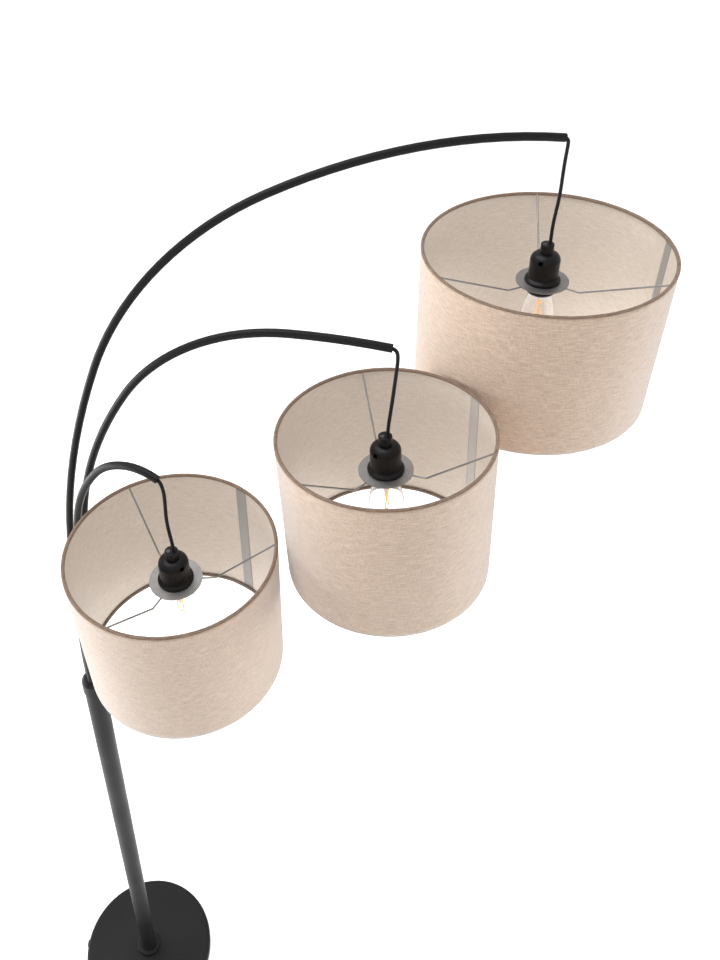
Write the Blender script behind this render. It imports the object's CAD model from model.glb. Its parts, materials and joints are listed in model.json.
"""Tree floor lamp, dressed for a product picture: cords, linen shades, finishes, light, camera."""
import json
import math

import bmesh
import bpy
from mathutils import Matrix, Vector, noise

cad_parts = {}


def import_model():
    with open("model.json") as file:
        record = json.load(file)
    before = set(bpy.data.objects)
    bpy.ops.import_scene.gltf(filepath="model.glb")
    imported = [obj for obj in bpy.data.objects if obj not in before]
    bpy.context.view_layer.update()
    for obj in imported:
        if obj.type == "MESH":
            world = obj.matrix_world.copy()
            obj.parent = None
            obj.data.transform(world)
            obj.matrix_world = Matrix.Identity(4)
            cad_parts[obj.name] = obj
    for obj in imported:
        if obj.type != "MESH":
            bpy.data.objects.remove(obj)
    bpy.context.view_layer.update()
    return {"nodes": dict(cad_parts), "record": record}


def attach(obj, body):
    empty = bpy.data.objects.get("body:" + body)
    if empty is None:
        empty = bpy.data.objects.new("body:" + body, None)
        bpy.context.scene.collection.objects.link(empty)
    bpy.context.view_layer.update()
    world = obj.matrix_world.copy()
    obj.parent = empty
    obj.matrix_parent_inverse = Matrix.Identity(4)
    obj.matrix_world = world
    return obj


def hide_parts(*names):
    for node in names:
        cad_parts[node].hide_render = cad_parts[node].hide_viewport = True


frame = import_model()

MM = 0.001
TAU = 2 * math.pi

# Each lamp: the middle of its shade's lower edge, the way up its axis, the shade's radius, the
# height of the spider's washer, the azimuths (degrees) of the seam and of the bulb's rods, and
# a seed that makes each drum uneven in its own way.
LAMPS = {
    "high": {"foot": (0.60712, 0.15827, 1.55718), "up": (-0.072923, -0.039404, 0.996559),
             "radius": 0.150, "seat": 0.15475, "seam": 5.5, "rods": 20.0, "seed": 3.1},
    "middle": {"foot": (0.42445, -0.03966, 1.41787), "up": (-0.102795, 0.005179, 0.994689),
               "radius": 0.125, "seat": 0.14375, "seam": 30.0, "rods": 82.0, "seed": 11.7},
    "low": {"foot": (0.17326, -0.08875, 1.2726), "up": (-0.042201, -0.025649, 0.99878),
            "radius": 0.125, "seat": 0.14475, "seam": 55.0, "rods": -18.0, "seed": 24.9},
}
SHADE_HEIGHT = 0.200
SHELL_FOOT, SHELL_TOP = 0.0008, SHADE_HEIGHT - 0.0020
CLOTH_INSET, FILM_INSET = 0.00025, 0.0009       # faces of the wall, in from the shade's radius
HEM_RADIUS = 0.00225
TAPE = 0.0008                                   # thickness of the rolled tape
TRIM_ARCS = {"top": (6, 228), "bottom": (38, 236)}      # degrees, from outward over the ring
LAP_COLUMNS, LAP_RISE = 12, 0.00022             # where the tape's ends lap
SEAM_WIDTH, SEAM_THICKNESS, SEAM_END = 0.016, 0.00035, 0.0052

# The cords' routes, from the mouth of the arm into the lampholder's grip, and their lengths.
CORDS = {
    "high": {"length": 0.1408, "points": [
        (0.5837, 0.1482, 1.8888), (0.5855, 0.1486, 1.8886), (0.5870, 0.1490, 1.8878),
        (0.5883, 0.1493, 1.8865), (0.5891, 0.1495, 1.8848), (0.5895, 0.1496, 1.8813),
        (0.5898, 0.1497, 1.8748), (0.5902, 0.1498, 1.8633), (0.5914, 0.1501, 1.8463),
        (0.5929, 0.1503, 1.8293), (0.5934, 0.1504, 1.8133), (0.5930, 0.1502, 1.7983),
        (0.5931, 0.1502, 1.7843), (0.5945, 0.1504, 1.7674), (0.5957, 0.1511, 1.7515)]},
    "middle": {"length": 0.1282, "points": [
        (0.4012, -0.0363, 1.7253), (0.4030, -0.0365, 1.7251), (0.4046, -0.0367, 1.7243),
        (0.4060, -0.0368, 1.7231), (0.4071, -0.0369, 1.7216), (0.4082, -0.0370, 1.7186),
        (0.4089, -0.0371, 1.7128), (0.4091, -0.0372, 1.7018), (0.4086, -0.0374, 1.6828),
        (0.4082, -0.0377, 1.6618), (0.4074, -0.0380, 1.6378), (0.4067, -0.0381, 1.6168),
        (0.4083, -0.0382, 1.6009)]},
    "low": {"length": 0.1171, "points": [
        (0.1550, -0.0855, 1.5710), (0.1565, -0.0862, 1.5704), (0.1578, -0.0869, 1.5693),
        (0.1588, -0.0873, 1.5679), (0.1596, -0.0878, 1.5659), (0.1609, -0.0886, 1.5620),
        (0.1620, -0.0892, 1.5552), (0.1624, -0.0895, 1.5442), (0.1620, -0.0895, 1.5292),
        (0.1621, -0.0898, 1.5142), (0.1633, -0.0906, 1.5002), (0.1654, -0.0920, 1.4872),
        (0.1675, -0.0934, 1.4732), (0.1682, -0.0930, 1.4573)]},
}
CORD_DIAMETER = 0.0042

SKIRT_RADIUS, SKIRT_DROP = 0.0183, 0.0140       # the lampholder's thread, down from the washer
THREAD_PITCH, THREAD_WIRE = 0.0026, 0.00055
TURN_POINTS, THREAD_POINTS = 16, 34

# The bulb in millimetres: (radius, height over the washer) for the turned pieces.
CAP_CROWN = [(0.0, 7.6), (3.6, 7.6), (4.5, 7.2), (4.5, 5.6), (9.0, 4.4), (11.2, 2.0)]
CAP_RADIUS, CAP_RELIEF, CAP_PITCH = 12.45, 0.5, 3.6
CAP_START, CAP_LENGTH, CAP_STEPS = 2.0, 17.0, 48
CAP_LIP = [(12.9, -15.6), (13.0, -17.0), (12.4, -17.4), (0.0, -17.4)]
STEM = [(0.0, -17.6), (11.5, -17.6), (11.0, -19.5), (7.0, -23.0), (4.2, -28.0), (3.0, -33.0),
        (2.6, -40.0), (1.6, -42.0), (1.3, -50.0), (1.5, -60.0), (2.1, -61.5), (1.2, -63.0),
        (0.0, -63.0)]
ROD_RADIUS, WIRE_RADIUS = 0.00075, 0.00022

FLOOR_REACH, FLOOR_DROP, FLOOR_GLOW = 30.0, 0.0002, 0.55
AMBIENT = 0.66
LIGHT_COLOUR = (1.0, 0.99, 0.975)
# Each light: where it stands, what it faces, its width, height and power.
LIGHTS = {
    "left_bank": ((-2.1, 0.1, 1.05), (0.3, 0.0, 1.3), 2.4, 1.7, 62),
    "right_bank": ((3.0, 0.2, 1.35), (0.45, 0.05, 1.4), 2.4, 1.9, 50),
    "overhead": ((-0.7, 0.3, 3.9), (0.15, 0.0, 1.4), 2.4, 2.4, 54),
    "front_fill": ((0.2, -2.6, 1.5), (0.3, 0.0, 1.4), 2.4, 2.0, 9),
}
CAMERA_SPOT = (0.3252, -0.7491, 2.2)
CAMERA_TILT, CAMERA_ROLL = 52.97868, 2.66380         # degrees
CAMERA_LENS, CAMERA_SENSOR = 31.01, 36.0
CAMERA_SHIFT = (0.0459, -0.0898)


# ----------------------------------------------------------------------------------- helpers
def place_of(lamp):
    """A lamp's own frame: Z up its axis, X as near to the world's X as that allows."""
    up = Vector(lamp["up"]).normalized()
    across = (Vector((1, 0, 0)) - up * up.x).normalized()
    matrix = Matrix((across, up.cross(across), up)).transposed().to_4x4()
    matrix.translation = Vector(lamp["foot"])
    return matrix


def add_object(name, data, place, body, slot, *materials):
    """Put a piece in the scene, on the body that it rides and in its material slot."""
    item = bpy.data.objects.new(name, data)
    bpy.context.scene.collection.objects.link(item)
    item.matrix_world = place
    for material in materials:
        data.materials.append(material)
    bpy.context.view_layer.update()
    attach(item, body)
    return item


def grid(name, rows, closed_rows, closed_across, maps, faces_of=None):
    """A mesh from rows of points, closed along the rows, across them, or both.

    `maps` gives each (row, column) its place on the cloth, `faces_of` its material's number.
    """
    mesh = bpy.data.meshes.new(name)
    high, wide = len(rows), len(rows[0])
    points = [point for row in rows for point in row]
    faces, corners, kinds = [], [], []
    for i in range(high if closed_across else high - 1):
        for j in range(wide if closed_rows else wide - 1):
            spots = ((i, j), (i, j + 1), (i + 1, j + 1), (i + 1, j))
            faces.append([(a % high) * wide + b % wide for a, b in spots])
            corners.extend(maps(a, b) for a, b in spots)
            kinds.append(faces_of(i, j) if faces_of else 0)
    mesh.from_pydata(points, [], faces)
    cloth = mesh.uv_layers.new(name="cloth")
    for k, spot in enumerate(corners):
        cloth.data[k].uv = spot
    for face, kind in zip(mesh.polygons, kinds):
        face.material_index = kind
        face.use_smooth = True
    mesh.validate()
    mesh.update()
    return mesh


def lathe(name, profile, count=96):
    """A turned mesh from (radius, height) pairs, with metres on its cloth map."""
    rows = [[(r * math.cos(TAU * j / count), r * math.sin(TAU * j / count), z)
             for j in range(count)] for r, z in profile]
    run = [0.0]
    for (r0, z0), (r1, z1) in zip(profile, profile[1:]):
        run.append(run[-1] + math.hypot(r1 - r0, z1 - z0))
    widest = max(r for r, z in profile)
    mesh = grid(name, rows, True, False, lambda i, j: (widest * TAU * j / count, run[i]))
    build = bmesh.new()
    build.from_mesh(mesh)
    bmesh.ops.remove_doubles(build, verts=build.verts, dist=1e-6)
    bmesh.ops.recalc_face_normals(build, faces=build.faces)
    build.to_mesh(mesh)
    build.free()
    return mesh


def curve(name, points, radius, order=4):
    """A round rod along a smooth spline whose control points are given."""
    data = bpy.data.curves.new(name, "CURVE")
    data.dimensions = "3D"
    data.bevel_depth = radius
    data.bevel_resolution = 5
    data.resolution_u = 12
    data.use_fill_caps = True
    spline = data.splines.new("NURBS")
    spline.points.add(len(points) - 1)
    for spot, point in zip(spline.points, points):
        spot.co = (*point, 1.0)
    spline.order_u = order
    spline.use_endpoint_u = True
    return data


# --------------------------------------------------------------------------------- materials
class Shader:
    """A material whose nodes are added one by one."""

    def __init__(self, name, colour, roughness, metallic=0.0, **sockets):
        self.material = bpy.data.materials.new(name)
        self.material.use_nodes = True
        self.tree = self.material.node_tree
        self.surface = next(n for n in self.tree.nodes if n.type == "BSDF_PRINCIPLED")
        self.surface.inputs["Base Color"].default_value = (*colour, 1.0)
        self.surface.inputs["Roughness"].default_value = roughness
        self.surface.inputs["Metallic"].default_value = metallic
        for socket, value in sockets.items():
            self.surface.inputs[socket.replace("_", " ")].default_value = value
        self.material.diffuse_color = (*colour, 1.0)

    def add(self, kind, inputs=None, **settings):
        """A node with its settings; an input is a value, or a socket to link from."""
        node = self.tree.nodes.new(kind)
        for key, value in settings.items():
            setattr(node, key, value)
        for key, value in (inputs or {}).items():
            if isinstance(value, bpy.types.NodeSocket):
                self.tree.links.new(value, node.inputs[key])
            else:
                node.inputs[key].default_value = value
        return node

    def where(self, scale, cloth=False):
        """Coordinates on the piece, or on its cloth map, times a scale for each direction."""
        if cloth:
            source = self.add("ShaderNodeUVMap", uv_map="cloth").outputs["UV"]
        else:
            source = self.add("ShaderNodeTexCoord").outputs["Object"]
        return self.add("ShaderNodeMapping", {"Vector": source, "Scale": scale}).outputs["Vector"]

    def grain(self, scale, detail=2.0, cloth=False, rough=0.5, distortion=0.0):
        """Noise stretched by a scale for each direction."""
        spot = self.where(scale, cloth)
        return self.add("ShaderNodeTexNoise", {"Vector": spot, "Scale": 1.0, "Detail": detail,
                                               "Roughness": rough,
                                               "Distortion": distortion}).outputs["Fac"]

    def ramp(self, value, *stops):
        """Colours or greys by value, from (position, colour) stops."""
        node = self.add("ShaderNodeValToRGB", {"Fac": value})
        elements = node.color_ramp.elements
        while len(elements) < len(stops):
            elements.new(0.5)
        for element, (at, colour) in zip(elements, stops):
            element.position = at
            element.color = (*colour, 1.0) if isinstance(colour, (tuple, list)) else (
                colour, colour, colour, 1.0)
        return node.outputs["Color"]

    def fit(self, value, low, high, first, last):
        """Map low to high onto first to last."""
        return self.add("ShaderNodeMapRange", {"Value": value, "From Min": low, "From Max": high,
                                               "To Min": first, "To Max": last}).outputs["Result"]

    def sum(self, kind, first, second):
        """One step of arithmetic on two values or sockets."""
        node = self.add("ShaderNodeMath", operation=kind)
        for index, value in enumerate((first, second)):
            if isinstance(value, bpy.types.NodeSocket):
                self.tree.links.new(value, node.inputs[index])
            else:
                node.inputs[index].default_value = value
        return node.outputs["Value"]

    def blend(self, kind, factor, first, second):
        """Mix two colours; a factor or colour is a value, or a socket to link from."""
        node = self.add("ShaderNodeMix", data_type="RGBA", blend_type=kind)
        for index, value in ((0, factor), (6, first), (7, second)):
            if isinstance(value, bpy.types.NodeSocket):
                self.tree.links.new(value, node.inputs[index])
            elif index == 0:
                node.inputs[index].default_value = value
            else:
                node.inputs[index].default_value = (*value, 1.0)
        return node.outputs[2]

    def paint(self, colour):
        self.tree.links.new(colour, self.surface.inputs["Base Color"])

    def roughen(self, value):
        self.tree.links.new(value, self.surface.inputs["Roughness"])

    def emboss(self, height, strength, distance):
        bump = self.add("ShaderNodeBump", {"Height": height, "Strength": strength,
                                           "Distance": distance})
        self.tree.links.new(bump.outputs["Normal"], self.surface.inputs["Normal"])


def even(scale):
    return (scale, scale, scale)


def powder_coat(name, colour, low, high):
    """Satin powder coat: a fine orange peel, and a gloss that drifts a little."""
    shader = Shader(name, colour, low, Specular_IOR_Level=0.12)
    drift = shader.grain(even(9.0), 3.0)
    shader.roughen(shader.fit(drift, 0.35, 0.65, low, high))
    light = tuple(1.35 * c for c in colour)
    shader.paint(shader.ramp(shader.grain(even(2400.0), 1.0), (0.35, colour), (0.75, light)))
    peel = shader.grain(even(1100.0), 2.0)
    shader.emboss(peel, 0.18, 0.00012)
    return shader.material


def phenolic(name, colour, low, high):
    """Moulded black resin: satin, with faint flow marks and fine pores."""
    shader = Shader(name, colour, low, Specular_IOR_Level=0.22)
    flow = shader.grain((60.0, 60.0, 240.0), 3.0, distortion=0.6)
    shader.roughen(shader.fit(flow, 0.3, 0.7, low, high))
    shader.paint(shader.ramp(flow, (0.3, colour), (0.8, tuple(1.5 * c for c in colour))))
    shader.emboss(shader.grain(even(1600.0), 2.0), 0.10, 0.00008)
    return shader.material


def sheet_metal(name, colour, low, high):
    """Plated or drawn metal, with a mottled film and fine marks."""
    shader = Shader(name, colour, low, metallic=1.0)
    marks = shader.grain(even(300.0), 4.0)
    cloud = shader.grain(even(70.0), 3.0)
    dim = tuple(0.85 * c for c in colour)
    shader.paint(shader.ramp(cloud, (0.32, dim), (0.68, colour)))
    shader.roughen(shader.fit(marks, 0.3, 0.7, low, high))
    shader.emboss(marks, 0.08, 0.00006)
    return shader.material


def cast_iron(name):
    """Sand-cast iron: dark, matt and pitted."""
    shader = Shader(name, (0.055, 0.053, 0.052), 0.75, metallic=0.4)
    sand = shader.grain(even(500.0), 5.0, rough=0.7)
    shader.paint(shader.ramp(sand, (0.3, (0.03, 0.029, 0.028)), (0.7, (0.085, 0.08, 0.077))))
    shader.emboss(sand, 0.5, 0.0004)
    return shader.material


def felt(name):
    """Black felt with loose fibres."""
    shader = Shader(name, (0.02, 0.02, 0.022), 0.95, Sheen_Weight=0.4)
    fibres = shader.grain(even(1500.0), 6.0, rough=0.8, distortion=1.5)
    shader.paint(shader.ramp(fibres, (0.3, (0.012, 0.012, 0.013)), (0.7, (0.05, 0.05, 0.053))))
    shader.emboss(fibres, 0.7, 0.0006)
    return shader.material


def plastic(name, colour, roughness):
    """Plain plastic or film with a faint skin."""
    shader = Shader(name, colour, roughness)
    skin = shader.grain(even(900.0), 3.0)
    shader.paint(shader.ramp(skin, (0.3, tuple(0.88 * c for c in colour)), (0.7, colour)))
    shader.emboss(skin, 0.12, 0.00008)
    return shader.material


def braid(name):
    """Black textile cord. Cords carry no cloth map, so the yarns show as one even tone."""
    shader = Shader(name, (0.012, 0.012, 0.013), 0.62, Sheen_Weight=0.05,
                    Specular_IOR_Level=0.2)
    one, two = (
        shader.add("ShaderNodeTexWave", {"Vector": shader.where((turn * 75.0, 6.0, 1.0), True),
                                         "Scale": 0.314, "Distortion": 0.3},
                   bands_direction="DIAGONAL").outputs["Fac"] for turn in (1, -1))
    yarns = shader.sum("MAXIMUM", one, two)
    shader.paint(shader.ramp(yarns, (0.25, (0.006, 0.006, 0.006)), (0.9, (0.016, 0.016, 0.017))))
    shader.emboss(yarns, 0.6, 0.0003)
    return shader.material


def linen(name, dark, light, relief, contrast, roughness, sheen):
    """Plain-woven slubby cloth; the cloth map is in metres, round the shade and up it."""
    shader = Shader(name, light, roughness, Sheen_Weight=sheen, Sheen_Roughness=0.4,
                    Specular_IOR_Level=0.25)
    weft = shader.grain((70.0, 1150.0, 1.0), 3.0, True, 0.6)
    warp = shader.grain((1150.0, 110.0, 1.0), 3.0, True, 0.6)
    slub = shader.grain((32.0, 620.0, 1.0), 2.0, True)
    knot = shader.grain((700.0, 1000.0, 1.0), 1.0, True)
    cloud = shader.grain((14.0, 14.0, 1.0), 2.0, True)
    pick, end = (
        shader.add("ShaderNodeTexWave", {"Vector": shader.where(even(1.0), True), "Scale": count,
                                         "Distortion": wander, "Detail Scale": 30.0},
                   bands_direction=way).outputs["Fac"]
        for way, count, wander in (("X", 340.0, 2.0), ("Y", 380.0, 2.5)))
    threads = shader.sum("ADD", shader.sum("MULTIPLY", weft, 0.62),
                         shader.sum("MULTIPLY", warp, 0.38))
    weave = shader.sum("MULTIPLY", shader.sum("ADD", pick, end), 0.5)
    body = shader.sum("ADD", shader.sum("MULTIPLY", threads, 0.86),
                      shader.sum("MULTIPLY", weave, 0.14))
    tone = shader.ramp(body, (0.37, dark), (0.63, light))
    streak = shader.fit(slub, 0.56, 0.74, 0.0, 0.35 * contrast)
    pale = tuple(min(1.0, 1.07 * c) for c in light)
    tone = shader.blend("MIX", streak, tone, pale)
    drift = shader.ramp(cloud, (0.3, 0.965), (0.7, 1.0))
    tone = shader.blend("MULTIPLY", 1.0, tone, drift)
    fleck = shader.fit(knot, 0.70, 0.80, 0.0, 0.6 * contrast)
    brown = tuple(c * k for c, k in zip(dark, (0.55, 0.48, 0.42)))
    tone = shader.blend("MIX", fleck, tone, brown)
    shader.paint(tone)
    height = shader.sum("ADD", threads, shader.sum("MULTIPLY", weave, 0.8))
    shader.emboss(height, relief, 0.00025)
    return shader.material


def glass(name):
    """Clear glass with a trace of film."""
    shader = Shader(name, (1.0, 1.0, 1.0), 0.0, Transmission_Weight=1.0, IOR=1.45)
    film = shader.grain(even(40.0), 2.0)
    shader.roughen(shader.fit(film, 0.4, 0.7, 0.0, 0.02))
    return shader.material


def glow(name, colour, light, strength):
    """A lit phosphor coat, slightly beaded."""
    shader = Shader(name, colour, 0.5, Emission_Color=(*light, 1.0), Emission_Strength=strength)
    beads = shader.grain(even(900.0), 2.0)
    shader.paint(shader.ramp(beads, (0.3, tuple(0.8 * c for c in colour)), (0.7, colour)))
    return shader.material


BLACK = (0.0125, 0.0118, 0.0128)
FINISH = {
    "felt": felt("felt_black"),
    "iron": cast_iron("iron_cast"),
    "black_paint": powder_coat("paint_satin_black", BLACK, 0.34, 0.46),
    "steel": sheet_metal("steel_drawn", (0.56, 0.55, 0.54), 0.30, 0.45),
    "dark_steel": sheet_metal("steel_dark", (0.16, 0.155, 0.15), 0.35, 0.50),
    "zinc": sheet_metal("zinc_satin", (0.34, 0.33, 0.325), 0.40, 0.55),
    "black_plastic": phenolic("resin_black", (0.0055, 0.0052, 0.0056), 0.28, 0.40),
    "white_plastic": plastic("plastic_white", (0.78, 0.77, 0.74), 0.45),
    "cord_black": braid("cord_black_braid"),
    "brass": sheet_metal("brass_plain", (0.78, 0.57, 0.28), 0.25, 0.40),
    "nickel": sheet_metal("nickel_plate", (0.62, 0.60, 0.56), 0.20, 0.34),
    "clear_glass": glass("glass_clear"),
}
OUTSIDE = linen("linen_outside", dark=(0.45, 0.325, 0.240), light=(0.80, 0.640, 0.520),
                relief=0.7, contrast=1.5, roughness=0.85, sheen=1.0)
INSIDE = linen("linen_behind_film", dark=(0.68, 0.590, 0.505), light=(0.90, 0.82, 0.74),
               relief=0.10, contrast=1.1, roughness=0.42, sheen=0.0)
TRIM = linen("linen_trim", dark=(0.12, 0.078, 0.055), light=(0.36, 0.262, 0.200),
             relief=0.7, contrast=1.3, roughness=0.9, sheen=0.2)
FILM = {"high": plastic("film_seam", (0.38, 0.365, 0.35), 0.38),
        "middle": plastic("film_seam_pale", (0.60, 0.56, 0.525), 0.38)}
FILM["low"] = FILM["high"]
ROD = glow("rod_phosphor", (0.9, 0.42, 0.05), (1.0, 0.45, 0.06), 1.0)
FINISH["linen"] = OUTSIDE

SLOT_OF = {node: entry["slot"] for entry in frame["record"].get("materials", [])
           for node in entry.get("nodes", [])}

for node, item in frame["nodes"].items():
    kind = SLOT_OF.get(node) or item.material_slots[0].material.name.split(".")[0]
    for place in item.material_slots:
        place.material = FINISH[kind]


# ------------------------------------------------------------------------------------- cords
for arm, route in CORDS.items():
    lead = curve(f"{arm}_flex", route["points"], CORD_DIAMETER / 2, order=3)
    cord = add_object(f"{arm}_flex", lead, Matrix(), f"{arm}_pendant", "cord_black",
                      FINISH["cord_black"])
    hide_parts(f"{arm}_cord")


# ------------------------------------------------------------------------------------ shades
def unevenness(seed, angle, height):
    """How far a hand-laid drum strays from a true one, in metres."""
    spot = Vector((math.cos(angle) * 1.3 + seed, math.sin(angle) * 1.3, height * 9.0))
    fine = Vector((math.cos(angle) * 5.0 + seed, math.sin(angle) * 5.0, height * 24.0))
    return 0.00022 * noise.noise(spot) + 0.00006 * noise.noise(fine)


def shade_shell(arm, lamp):
    """Linen laminated on film: one closed wall, linen outside and its back inside."""
    count, steps = 288, 36
    radius = lamp["radius"]
    start = math.radians(lamp["seam"])
    outer, inner = radius - CLOTH_INSET, radius - FILM_INSET
    levels = [SHELL_FOOT + (SHELL_TOP - SHELL_FOOT) * k / steps for k in range(steps + 1)]
    loop = [(outer, z) for z in levels] + [(inner, z) for z in reversed(levels)]
    rows = []
    for distance, z in loop:
        row = []
        for j in range(count):
            angle = start + TAU * j / count
            r = distance + unevenness(lamp["seed"], angle, z)
            row.append((r * math.cos(angle), r * math.sin(angle), z))
        rows.append(row)
    total = len(loop)

    def spot(i, j):
        z = loop[i % total][1]
        return (radius * TAU * j / count + lamp["seed"], z)

    def kind(i, j):
        return 0 if i <= steps else 1

    mesh = grid(f"{arm}_drum", rows, True, True, spot, kind)
    shell = add_object(f"{arm}_drum", mesh, place_of(lamp), f"{arm}_pendant", "linen",
                       OUTSIDE, INSIDE)
    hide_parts(f"{arm}_shade")


def trim_roll(arm, lamp, end):
    """The cloth tape rolled over a ring, with its ends lapped at the seam."""
    count, steps = 420, 26
    centre = lamp["radius"] - HEM_RADIUS
    middle = SHADE_HEIGHT - HEM_RADIUS if end == "top" else HEM_RADIUS
    sign = 1 if end == "top" else -1
    start = math.radians(lamp["seam"])
    first, last = TRIM_ARCS[end]
    arc = [math.radians(first + (last - first) * k / steps) for k in range(steps + 1)]
    loop = [(HEM_RADIUS, a) for a in arc] + [(HEM_RADIUS - TAPE, a) for a in reversed(arc)]
    rows = []
    for across, a in loop:
        row = []
        for j in range(count):
            angle = start + TAU * j / count
            turn = Vector((math.cos(angle) * 40 + lamp["seed"], math.sin(angle) * 40, a * 0.9))
            pucker = 0.00016 * noise.noise(turn) + 0.00008 * noise.noise(turn * 3.1)
            lap = LAP_RISE if j < LAP_COLUMNS else 0.0
            r = across + (pucker + lap if across == HEM_RADIUS else 0.0)
            reach = centre + r * math.cos(a)
            if across == HEM_RADIUS:
                reach = min(reach, lamp["radius"] + 0.0002)
            row.append((reach * math.cos(angle), reach * math.sin(angle),
                        middle + sign * r * math.sin(a)))
        if sign < 0:
            row.reverse()
        rows.append(row)
    total = len(loop)

    def spot(i, j):
        across, a = loop[i % total]
        return (lamp["radius"] * TAU * j / count, across * a * 1.4)

    mesh = grid(f"{arm}_{end}_trim", rows, True, True, spot)
    add_object(f"{arm}_{end}_trim", mesh, place_of(lamp), f"{arm}_pendant", "linen", TRIM)


def seam_strip(arm, lamp):
    """The lap of the drum seen inside: a satin strip of film, top to bottom."""
    radius = lamp["radius"] - FILM_INSET
    start = math.radians(lamp["seam"])
    low, high = SEAM_END, SHADE_HEIGHT - SEAM_END
    steps, wide = 40, 8

    def across(z, inside):
        """One row of the strip's face on the film, or of its face towards the bulb."""
        row = []
        for j in range(wide + 1):
            edge = abs(2 * j / wide - 1)
            angle = start + (j / wide - 0.5) * SEAM_WIDTH / radius
            wave = 0.00010 * noise.noise(Vector((z * 60, lamp["seed"], j * 0.4)))
            bulge = SEAM_THICKNESS * (1 - 0.5 * edge ** 6) + wave + 0.00012
            r = radius - (bulge if inside else -0.0001)
            r += unevenness(lamp["seed"], angle, z)
            row.append((r * math.cos(angle), r * math.sin(angle), z))
        return row

    levels = [low + (high - low) * k / steps for k in range(steps + 1)]
    loop = [across(z, False) + across(z, True)[::-1] for z in levels]
    mesh = grid(f"{arm}_seam", loop, True, False, lambda i, j: (j * 0.001, i * 0.005))
    build = bmesh.new()
    build.from_mesh(mesh)
    bmesh.ops.holes_fill(build, edges=[e for e in build.edges if e.is_boundary], sides=0)
    bmesh.ops.recalc_face_normals(build, faces=build.faces)
    build.to_mesh(mesh)
    build.free()
    add_object(f"{arm}_seam", mesh, place_of(lamp), f"{arm}_pendant", "linen", FILM[arm])


# ------------------------------------------------------------------------- lampholders, bulbs
def skirt_thread(arm, lamp):
    """The thread that the shade nut runs on, where it shows below the nut."""
    foot = lamp["seat"] - SKIRT_DROP
    points = []
    for k in range(THREAD_POINTS):
        angle = TAU * k / TURN_POINTS
        points.append((SKIRT_RADIUS * math.cos(angle), SKIRT_RADIUS * math.sin(angle),
                       foot + THREAD_PITCH * k / TURN_POINTS))
    data = curve(f"{arm}_skirt_thread", points, THREAD_WIRE)
    data.bevel_resolution = 2
    add_object(f"{arm}_skirt_thread", data, place_of(lamp), f"{arm}_pendant",
               "black_plastic", FINISH["black_plastic"])


def bulb(arm, lamp):
    """Threaded cap, glass stem, lead wires and the lit rods, inside the clear envelope."""
    seat = lamp["seat"]
    place = place_of(lamp)
    body = f"{arm}_pendant"
    cap = list(CAP_CROWN)
    for k in range(CAP_STEPS + 1):
        height = CAP_START - CAP_LENGTH * k / CAP_STEPS
        cap.append((CAP_RADIUS + CAP_RELIEF * math.cos(TAU * height / CAP_PITCH), height))
    cap += CAP_LIP
    mesh = lathe(f"{arm}_bulb_cap", [(r * MM, seat + z * MM) for r, z in cap])
    piece = add_object(f"{arm}_bulb_cap", mesh, place, body, "nickel", FINISH["nickel"])
    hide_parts(f"{arm}_bulb_core")

    mesh = lathe(f"{arm}_bulb_stem", [(r * MM, seat + z * MM) for r, z in STEM], 48)
    add_object(f"{arm}_bulb_stem", mesh, place, body, "clear_glass", FINISH["clear_glass"])

    turn = math.radians(lamp["rods"])
    for number, sign in enumerate((1, -1)):
        way = Vector((math.cos(turn), math.sin(turn), 0)) * sign
        side = Vector((-math.sin(turn), math.cos(turn), 0)) * sign
        top = way * 2.2 + side * 2.6 + Vector((0, 0, -29.0))
        end = way * 5.2 - side * 1.8 + Vector((0, 0, -60.5))
        rod = [top + (end - top) * k / 3 for k in range(4)]
        feed = [way * 2.2 + Vector((0, 0, -24.0)), way * 2.6 + side * 1.0 + Vector((0, 0, -26.5)),
                top + Vector((0, 0, 1.0)), top + Vector((0, 0, -0.5))]
        stay = [Vector((0, 0, -62.2)), way * 2.0 - side * 0.6 + Vector((0, 0, -63.4)),
                end + Vector((0, 0, -1.4)), end + Vector((0, 0, 0.4))]
        for name, route, radius, slot, material in (
                (f"{arm}_rod_{number}", rod, ROD_RADIUS, "clear_glass", ROD),
                (f"{arm}_feed_{number}", feed, WIRE_RADIUS, "nickel", FINISH["nickel"]),
                (f"{arm}_stay_{number}", stay, WIRE_RADIUS, "nickel", FINISH["nickel"])):
            points = [Vector((0, 0, seat)) + MM * point for point in route]
            add_object(name, curve(name, points, radius), place, body, slot, material)


for arm, lamp in LAMPS.items():
    shade_shell(arm, lamp)
    trim_roll(arm, lamp, "top")
    trim_roll(arm, lamp, "bottom")
    seam_strip(arm, lamp)
    skirt_thread(arm, lamp)
    bulb(arm, lamp)


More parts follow.
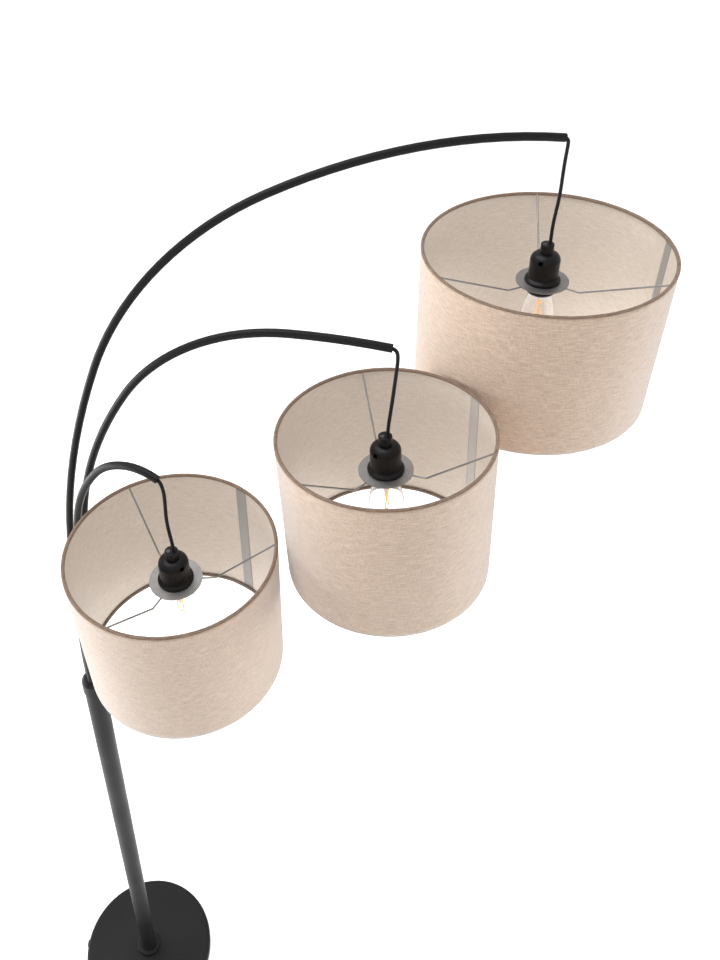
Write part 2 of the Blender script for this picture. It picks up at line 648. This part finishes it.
# -------------------------------------------------------------------------- stage and lights
def floor():
    """A white floor that takes shadows and looks white to the camera and through glass."""
    mesh = bpy.data.meshes.new("studio_floor")
    corners = [(-1, -1), (1, -1), (1, 1), (-1, 1)]
    mesh.from_pydata([(FLOOR_REACH * x, FLOOR_REACH * y, 0) for x, y in corners], [],
                     [(0, 1, 2, 3)])
    item = bpy.data.objects.new("studio_floor", mesh)
    bpy.context.scene.collection.objects.link(item)
    item.location.z = -FLOOR_DROP
    shader = Shader("studio_white", (0.86, 0.86, 0.86), 0.9, Specular_IOR_Level=0.1)
    path = shader.add("ShaderNodeLightPath")
    seen = shader.sum("MAXIMUM", path.outputs["Is Camera Ray"],
                      shader.sum("MAXIMUM", path.outputs["Is Glossy Ray"],
                                 path.outputs["Is Transmission Ray"]))
    glowing = shader.add("ShaderNodeEmission", {"Color": (1, 1, 1, 1)})
    shader.tree.links.new(shader.sum("MULTIPLY", seen, FLOOR_GLOW), glowing.inputs["Strength"])
    both = shader.add("ShaderNodeAddShader")
    end = next(n for n in shader.tree.nodes if n.type == "OUTPUT_MATERIAL")
    shader.tree.links.new(shader.surface.outputs["BSDF"], both.inputs[0])
    shader.tree.links.new(glowing.outputs["Emission"], both.inputs[1])
    shader.tree.links.new(both.outputs["Shader"], end.inputs["Surface"])
    mesh.materials.append(shader.material)


def world():
    """White to the camera and through glass, and a softer light on the lamp."""
    sky = bpy.data.worlds.new("studio")
    bpy.context.scene.world = sky
    sky.use_nodes = True
    tree = sky.node_tree
    back = next(n for n in tree.nodes if n.type == "BACKGROUND")
    path = tree.nodes.new("ShaderNodeLightPath")
    most = tree.nodes.new("ShaderNodeMath")
    most.operation = "MAXIMUM"
    tree.links.new(path.outputs["Is Camera Ray"], most.inputs[0])
    tree.links.new(path.outputs["Is Transmission Ray"], most.inputs[1])
    level = tree.nodes.new("ShaderNodeMapRange")
    level.inputs["To Min"].default_value = AMBIENT
    level.inputs["To Max"].default_value = 1.0
    tree.links.new(most.outputs["Value"], level.inputs["Value"])
    tree.links.new(level.outputs["Result"], back.inputs["Strength"])
    back.inputs["Color"].default_value = (1.0, 0.995, 0.99, 1.0)


def area_light(name, spot, aim, wide, high, power):
    data = bpy.data.lights.new(name, "AREA")
    data.shape = "RECTANGLE"
    data.size = wide
    data.size_y = high
    data.energy = power
    data.color = LIGHT_COLOUR
    item = bpy.data.objects.new(name, data)
    bpy.context.scene.collection.objects.link(item)
    item.location = spot
    item.rotation_euler = (Vector(aim) - Vector(spot)).to_track_quat("-Z", "Y").to_euler()


def camera():
    data = bpy.data.cameras.new("camera")
    data.lens = CAMERA_LENS
    data.sensor_width = CAMERA_SENSOR
    data.sensor_fit = "AUTO"
    data.shift_x, data.shift_y = CAMERA_SHIFT
    data.clip_start = 0.01
    item = bpy.data.objects.new("camera", data)
    bpy.context.scene.collection.objects.link(item)
    item.matrix_world = (Matrix.Translation(CAMERA_SPOT)
                         @ Matrix.Rotation(math.radians(CAMERA_TILT), 4, "X")
                         @ Matrix.Rotation(math.radians(CAMERA_ROLL), 4, "Z"))
    bpy.context.scene.camera = item


floor()
world()
for name, values in LIGHTS.items():
    area_light(name, *values)
camera()
bpy.context.scene.view_settings.view_transform = "Standard"
